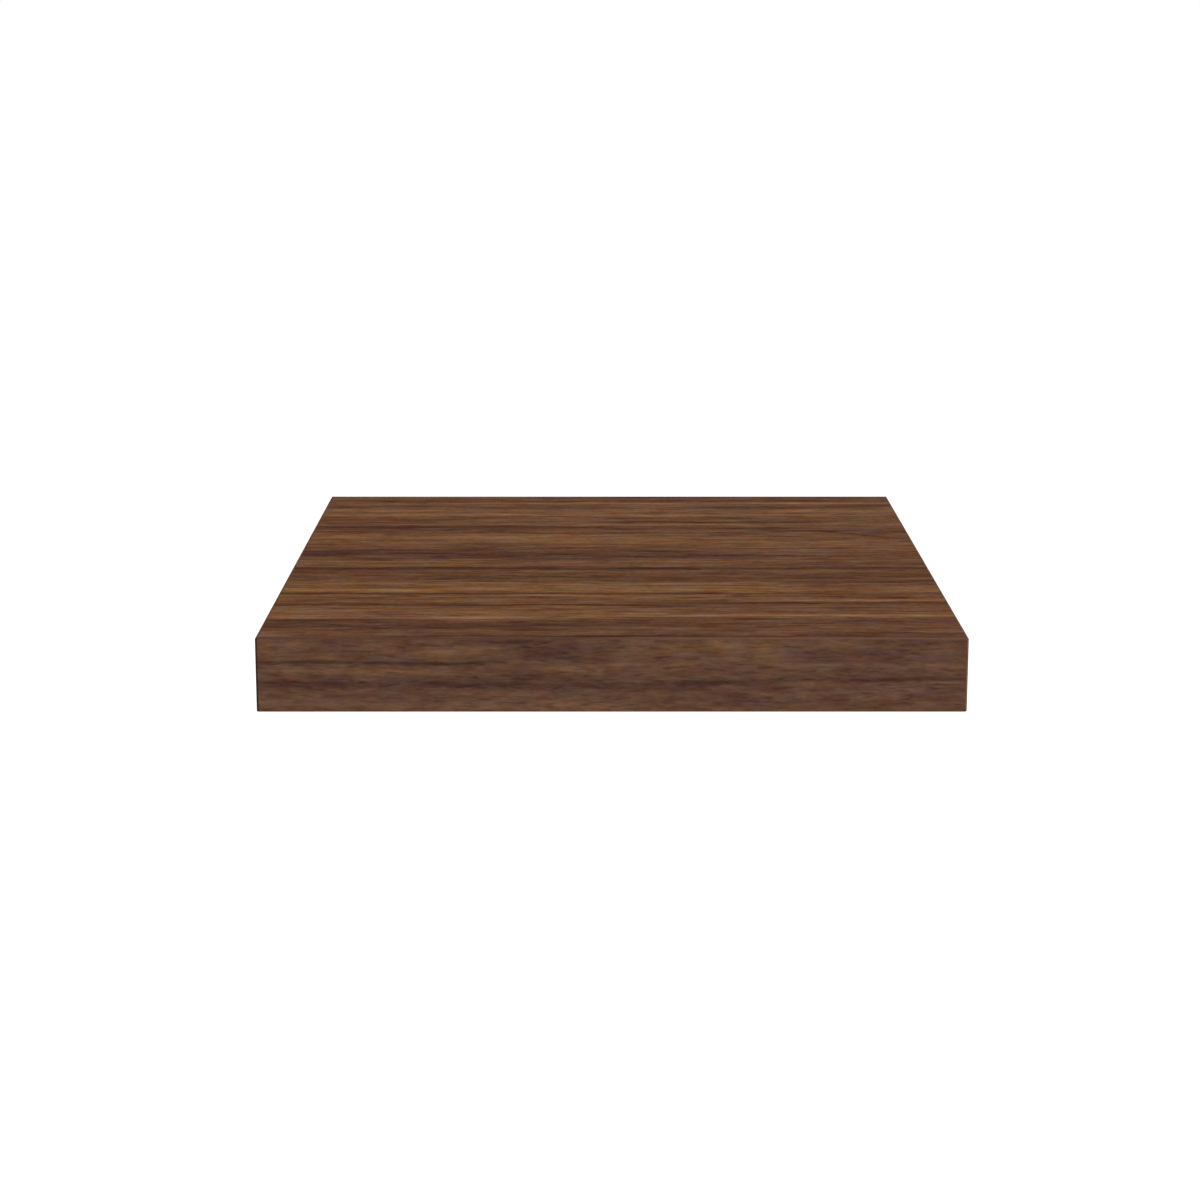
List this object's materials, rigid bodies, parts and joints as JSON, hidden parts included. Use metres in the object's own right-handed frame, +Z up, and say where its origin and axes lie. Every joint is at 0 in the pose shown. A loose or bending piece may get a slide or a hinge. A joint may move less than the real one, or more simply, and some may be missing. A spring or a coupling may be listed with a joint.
{
  "type": "floating wall shelf",
  "caption": "Rectangular walnut-look shelf board that slides over hidden steel rods standing on a flat wall plate, and is locked from below.",
  "frame": {"origin": "the middle of the wall plate's back face, on the wall", "axes": "+X along the wall to the right as seen from the room, +Y into the wall, +Z up; the board reaches towards -Y"},
  "size_m": [0.35, 0.281, 0.038],
  "materials": {
    "walnut_foil": "satin walnut-look foil on thin fibreboard",
    "walnut_edge": "satin walnut-look edge band",
    "chipboard": "raw sawn chipboard",
    "pine": "raw planed pine",
    "honeycomb_paper": "matt brown paper",
    "brass": "turned",
    "black_steel": "black oxide",
    "zinc_steel": "bright zinc plated",
    "weld": "zinc plated weld bead",
    "nylon": "moulded grey nylon"
  },
  "bodies": {
    "bracket": {"wall_plate": "zinc_steel", "rod_left": "zinc_steel", "rod_right": "zinc_steel", "weld_bead_left": "weld", "weld_bead_right": "weld", "wall_screw_1": "zinc_steel", "wall_screw_2": "zinc_steel", "wall_screw_3": "zinc_steel", "wall_screw_4": "zinc_steel", "wall_plug_1": "nylon", "wall_plug_2": "nylon", "wall_plug_3": "nylon", "wall_plug_4": "nylon"},
    "board": {"top_skin": "walnut_foil", "bottom_skin": "walnut_foil", "front_edge_band": "walnut_edge", "left_edge_band": "walnut_edge", "right_edge_band": "walnut_edge", "front_rail": "chipboard", "left_rail": "chipboard", "right_rail": "chipboard", "rear_rail": "pine", "honeycomb_core": "honeycomb_paper", "threaded_insert_left": "brass", "threaded_insert_right": "brass"},
    "set_screw_left": {"set_screw_left": "black_steel"},
    "set_screw_right": {"set_screw_right": "black_steel"}
  },
  "joints": [
    {"name": "board_slide", "type": "slide", "parent": "bracket", "child": "board", "axis": [0, -1, 0], "range_m": [0, 0.1]},
    {"name": "set_screw_left_travel", "type": "slide", "parent": "board", "child": "set_screw_left", "axis": [0, 0, 1], "range_m": [-0.004, 0]},
    {"name": "set_screw_right_travel", "type": "slide", "parent": "board", "child": "set_screw_right", "axis": [0, 0, 1], "range_m": [-0.004, 0]}
  ]
}
